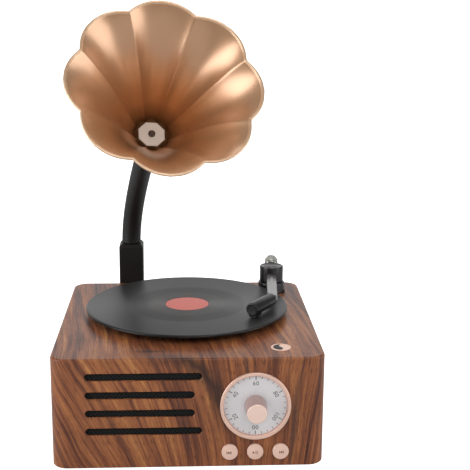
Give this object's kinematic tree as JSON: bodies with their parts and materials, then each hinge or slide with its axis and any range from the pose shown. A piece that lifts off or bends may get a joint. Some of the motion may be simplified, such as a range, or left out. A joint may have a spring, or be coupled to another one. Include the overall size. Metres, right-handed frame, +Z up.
{
  "type": "horn loudspeaker",
  "caption": "Small table-top loudspeaker styled as a gramophone: wooden case with sound slots, dial and buttons, a turning record, a tonearm and a petal horn on a curved neck.",
  "frame": {"origin": "centre of the wooden case on the standing plane, under the four feet", "axes": "+X to the right seen from the front, +Y to the back, where the horn's post stands, +Z up"},
  "size_m": [0.12, 0.1429, 0.2018],
  "materials": {
    "wood_case": "satin walnut-brown wood grain",
    "black_plastic": "fine-textured black",
    "zinc_screw": "zinc plated",
    "rubber_foot": "matte black",
    "speaker_cloth": "black open-weave speaker cloth",
    "baffle_board": "dark fibreboard",
    "stamped_steel": "black stamped steel",
    "surround_rubber": "soft matte black",
    "paper_cone": "pressed paper",
    "copper_wire": "enamelled copper winding",
    "ferrite": "grey sintered ferrite",
    "plain_steel": "bare steel",
    "rose_gold": "satin rose-gold anodised",
    "dial_silver": "light grey with fine grey print",
    "button_rose_gold": "rose-gold plated, soft gloss",
    "circuit_board": "green solder resist",
    "battery_wrap": "blue shrink wrap",
    "bush_brass": "turned brass",
    "vinyl": "grooved satin black",
    "label_paper": "matte red paper",
    "tonearm_black": "satin dark grey",
    "arm_steel": "satin steel",
    "headshell_black": "satin dark grey",
    "weight_alloy": "satin grey",
    "neck_black": "satin black",
    "horn_copper_gold": "satin copper-gold sheet",
    "clamp_plate": "brushed warm silver",
    "screw_dark": "dark plated"
  },
  "bodies": {
    "root": {"case_shell": "wood_case", "bottom_cover": "black_plastic", "cover_screws": "zinc_screw", "feet": "rubber_foot", "grille_cloth": "speaker_cloth", "speaker_baffle": "baffle_board", "baffle_screws": "zinc_screw", "speaker_frame": "stamped_steel", "speaker_surround": "surround_rubber", "speaker_cone": "paper_cone", "speaker_dust_cap": "paper_cone", "voice_coil": "copper_wire", "speaker_magnet": "ferrite", "speaker_yoke": "plain_steel", "speaker_screws": "zinc_screw", "dial_ring": "rose_gold", "dial_plate": "dial_silver", "potentiometer": "plain_steel", "control_board": "circuit_board", "tact_switches": "black_plastic", "main_board": "circuit_board", "board_components": "black_plastic", "board_screws": "zinc_screw", "usb_socket": "plain_steel", "battery": "battery_wrap", "battery_tray": "black_plastic", "badge": "rose_gold", "spindle_bush": "bush_brass", "tonearm_base": "tonearm_black", "tonearm_nut": "plain_steel", "neck_post": "neck_black", "post_screws": "zinc_screw", "neck_set_screw": "zinc_screw"},
    "knob": {"volume_knob": "rose_gold", "pot_shaft": "plain_steel"},
    "button_previous": {"button_previous": "button_rose_gold"},
    "button_play": {"button_play": "button_rose_gold"},
    "button_next": {"button_next": "button_rose_gold"},
    "platter": {"record_disc": "vinyl", "record_label": "label_paper", "platter_hub": "black_plastic", "spindle_clip": "plain_steel"},
    "tonearm": {"tonearm_turret": "tonearm_black", "tonearm_pivot": "plain_steel", "tonearm_clip": "plain_steel", "arm_tube": "arm_steel", "headshell": "headshell_black", "cartridge": "black_plastic", "counterweight": "weight_alloy"},
    "horn": {"neck_tube": "neck_black", "neck_spigot": "plain_steel", "neck_plug": "plain_steel", "horn_bell": "horn_copper_gold", "throat_plate": "clamp_plate", "throat_screw": "screw_dark"}
  },
  "joints": [
    {"name": "knob_turn", "type": "hinge", "parent": "root", "child": "knob", "pos_m": [0.0293, -0.06, 0.0299], "axis": [0, 1, 0], "range_deg": [-180, 120]},
    {"name": "button_previous_press", "type": "slide", "parent": "root", "child": "button_previous", "axis": [0, 1, 0], "range_m": [0, 0.0008], "stiffness_N_per_m": 500},
    {"name": "button_play_press", "type": "slide", "parent": "root", "child": "button_play", "axis": [0, 1, 0], "range_m": [0, 0.0008], "stiffness_N_per_m": 500},
    {"name": "button_next_press", "type": "slide", "parent": "root", "child": "button_next", "axis": [0, 1, 0], "range_m": [0, 0.0008], "stiffness_N_per_m": 500},
    {"name": "platter_spin", "type": "hinge", "parent": "root", "child": "platter", "pos_m": [0, 0.0066, 0.0521], "axis": [0, 0, -1], "continuous": true},
    {"name": "tonearm_swing", "type": "hinge", "parent": "root", "child": "tonearm", "pos_m": [0.0448, 0.0425, 0.0577], "axis": [0, 0, 1], "range_deg": [-24, 16]},
    {"name": "horn_swivel", "type": "hinge", "parent": "root", "child": "horn", "pos_m": [-0.0298, 0.0668, 0.0731], "axis": [0, 0, 1], "range_deg": [-102, 78]}
  ]
}
